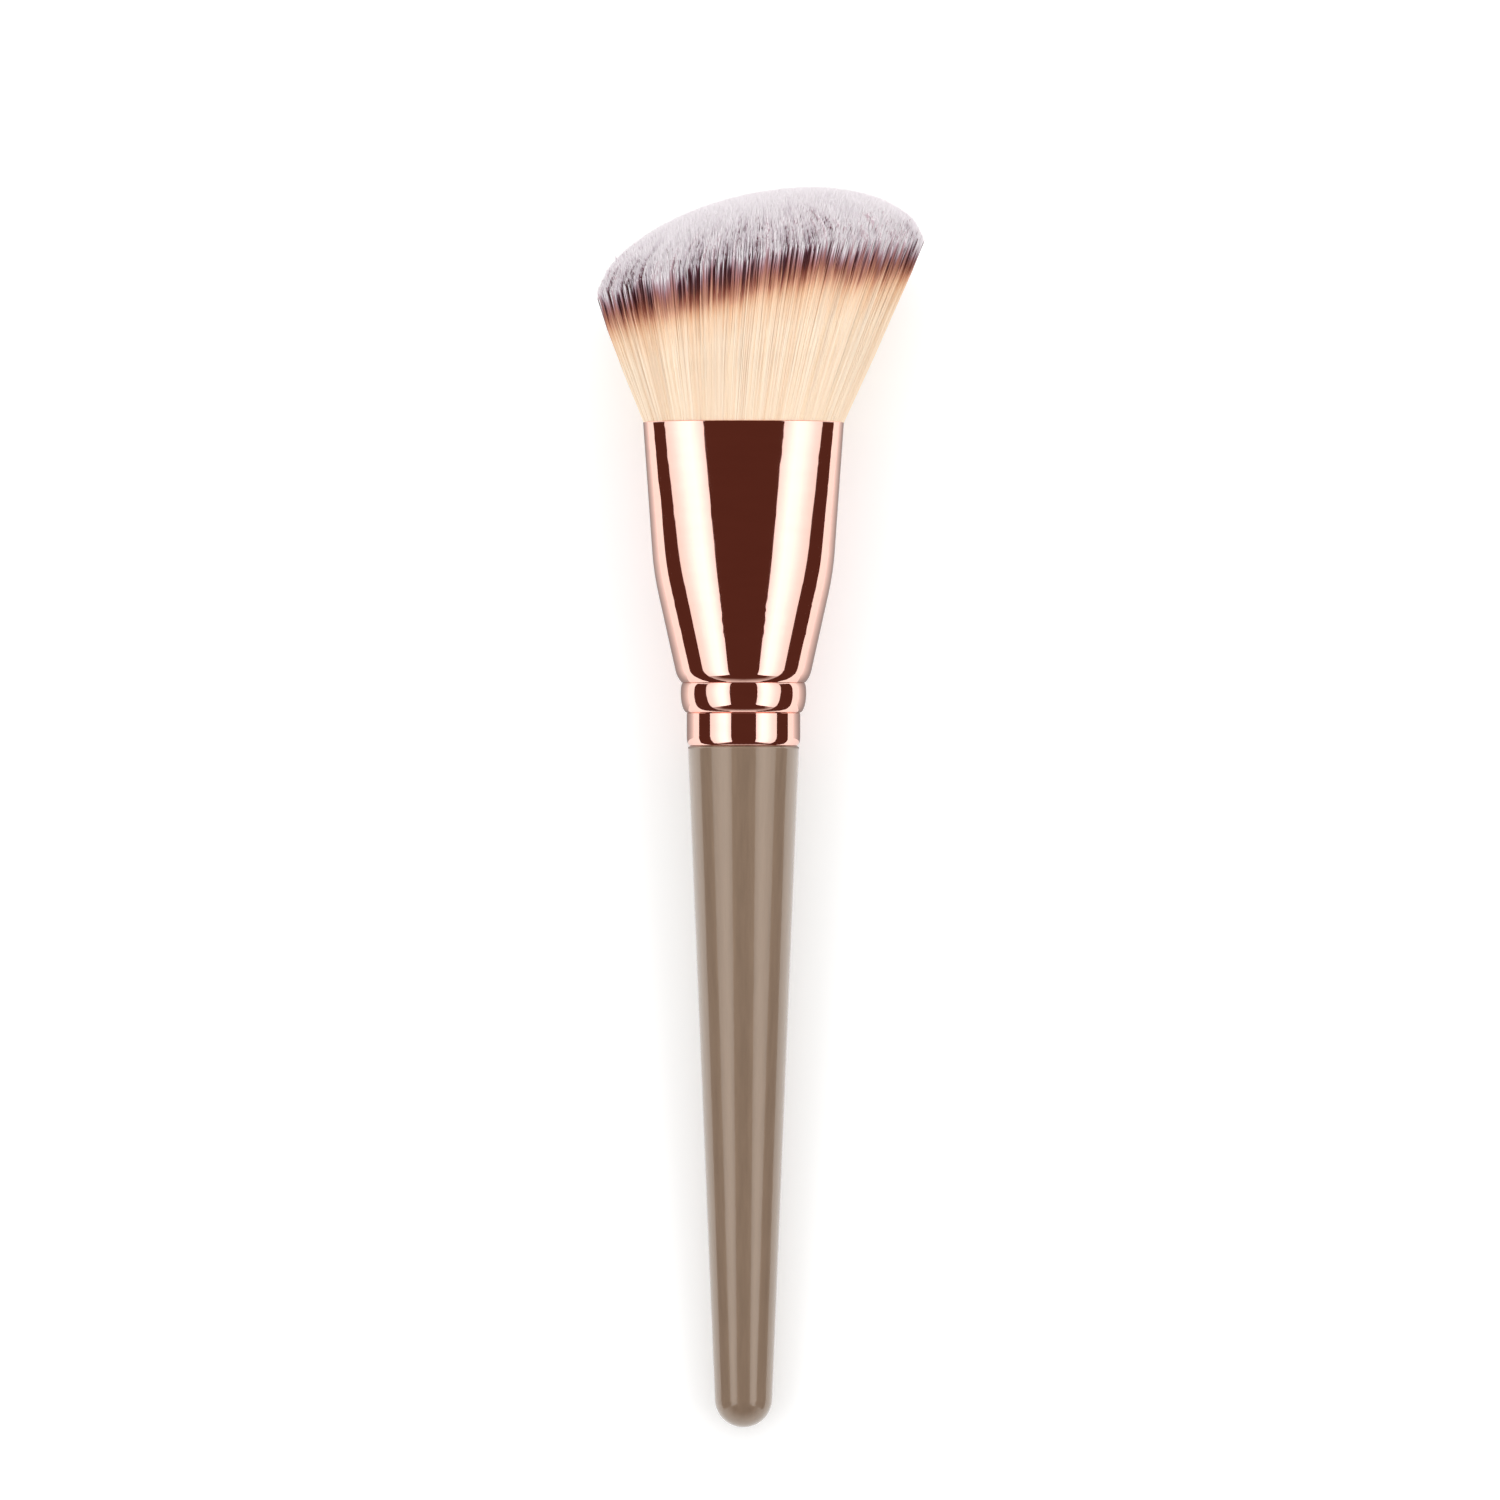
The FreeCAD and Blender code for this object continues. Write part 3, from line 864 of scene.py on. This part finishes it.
def lay_painted_shadow_cards():
    """Two glowing cards on the floor, seen only in reflections, that paint the floor's shadow beside the
    brush onto the ferrule's outer edges, darkest beside it.
    """
    # Painted shadow: a grey glow in place of the floor's shade beside the brush
    material = glowing_cloth("Painted floor shadow, graded grey", stops=[
        (0.0, (0.30, 0.27, 0.26)), (0.3, (0.42, 0.39, 0.38)), (0.65, (0.75, 0.73, 0.72)),
        (1.0, (1.1, 1.12, 1.12))])
    lights_nothing(material)
    # From the collar to the mouth, spreading with the ferrule, a hair above the floor
    low, high, z = 0.0088, 0.058, 0.0001
    for card in board_pair("grade", [(0.008, low, z), (0.028, low, z), (0.034, high, z),
                                     (0.014, high, z)], material, COLLAR_POINT[0]):
        only_reflected(card)


def light_room(scene, studio):
    """Even light from all round, and a white background."""
    world = bpy.data.worlds.new("Studio")
    world.use_nodes = True
    tree = world.node_tree
    tree.nodes.clear()
    room = add(tree, "ShaderNodeBackground", {"Color": (1, 1, 1, 1), "Strength": studio.room_glow})
    white = add(tree, "ShaderNodeBackground", {"Color": (1, 1, 1, 1), "Strength": 1.0})
    mixed = add(tree, "ShaderNodeMixShader", {
        "Fac": seen_background(tree), 1: room.outputs[0], 2: white.outputs[0]})
    output = add(tree, "ShaderNodeOutputWorld")
    tree.links.new(mixed.outputs[0], output.inputs["Surface"])
    scene.world = world


def aim_camera(scene, studio):
    """Camera square to the brush's wide face, with the brush upright in the picture."""
    target = COLLAR_POINT - ALONG * PICTURE_DOWN + ACROSS * PICTURE_ASIDE
    place = target + FACING * studio.camera_distance
    data = bpy.data.cameras.new("camera")
    data.lens = studio.lens
    data.sensor_width = 36.0
    data.clip_start = 0.01
    data.clip_end = 50.0
    camera = bpy.data.objects.new("camera", data)
    turn = Matrix([ACROSS, ALONG, FACING]).transposed()
    camera.matrix_world = Matrix.Translation(Vector(place)) @ turn.to_4x4()
    scene.collection.objects.link(camera)
    scene.camera = camera


# Panel

class BRUSH_PT_panel(bpy.types.Panel):
    """Lists the steps that dress the brush, with their settings."""
    bl_idname = "BRUSH_PT_panel"
    bl_label = "Contour Brush"
    bl_space_type = "VIEW_3D"
    bl_region_type = "UI"
    bl_category = "Contour Brush"

    def draw(self, context):
        scene = context.scene
        for settings in (scene.brush_tuft, scene.brush_finish, scene.brush_studio):
            for name in settings.bl_rna.properties.keys():
                if name not in ("rna_type", "name"):
                    self.layout.prop(settings, name)
        for step in STEPS:
            self.layout.operator(step.bl_idname)


STEPS = (
    BRUSH_OT_finish_handle,
    BRUSH_OT_finish_ferrule,
    BRUSH_OT_finish_glue,
    BRUSH_OT_grow_tuft,
    BRUSH_OT_set_stage,
)
CLASSES = (TuftSettings, FinishSettings, StudioSettings, *STEPS, BRUSH_PT_panel)


def register():
    for item in CLASSES:
        bpy.utils.register_class(item)
    bpy.types.Scene.brush_tuft = bpy.props.PointerProperty(type=TuftSettings)
    bpy.types.Scene.brush_finish = bpy.props.PointerProperty(type=FinishSettings)
    bpy.types.Scene.brush_studio = bpy.props.PointerProperty(type=StudioSettings)


def unregister():
    del bpy.types.Scene.brush_studio
    del bpy.types.Scene.brush_finish
    del bpy.types.Scene.brush_tuft
    for item in reversed(CLASSES):
        bpy.utils.unregister_class(item)


def main():
    register()
    steps = bpy.ops.contour_brush
    steps.finish_handle()
    steps.finish_ferrule()
    steps.finish_glue()
    steps.grow_tuft()
    steps.set_stage()


if __name__ == "__main__":
    main()
